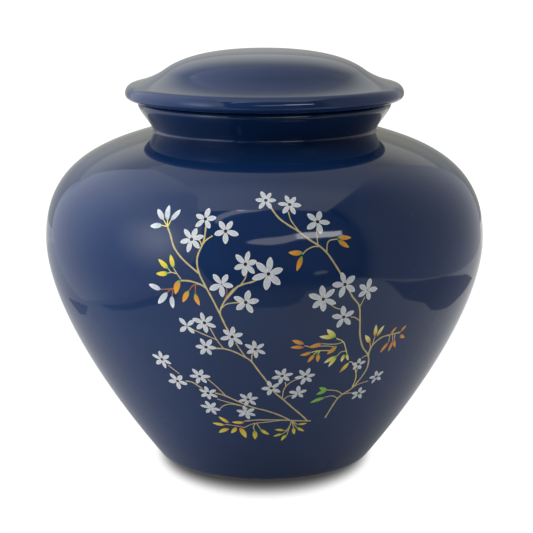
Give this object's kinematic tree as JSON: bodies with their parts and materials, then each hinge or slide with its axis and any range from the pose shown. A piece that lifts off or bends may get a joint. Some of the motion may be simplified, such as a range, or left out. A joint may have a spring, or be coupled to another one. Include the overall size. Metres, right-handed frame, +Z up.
{
  "type": "lidded ceramic urn",
  "caption": "Wide-bellied hollow ceramic urn with a flared collar and a domed, thick-brimmed lid that lifts off, in deep blue gloss glaze with a pale blossom pattern.",
  "frame": {"origin": "centre of the underside, on the surface that the urn stands on", "axes": "+Z up along the turning axis; -Y is the front with the blossom pattern"},
  "size_m": [0.216, 0.216, 0.2043],
  "materials": {
    "body_glaze": "deep blue gloss glaze with a flat blossom pattern, bare cream clay on the foot ring",
    "lid_glaze": "deep blue gloss glaze"
  },
  "bodies": {
    "root": {"urn_body": "body_glaze", "lid": "lid_glaze"}
  },
  "joints": []
}
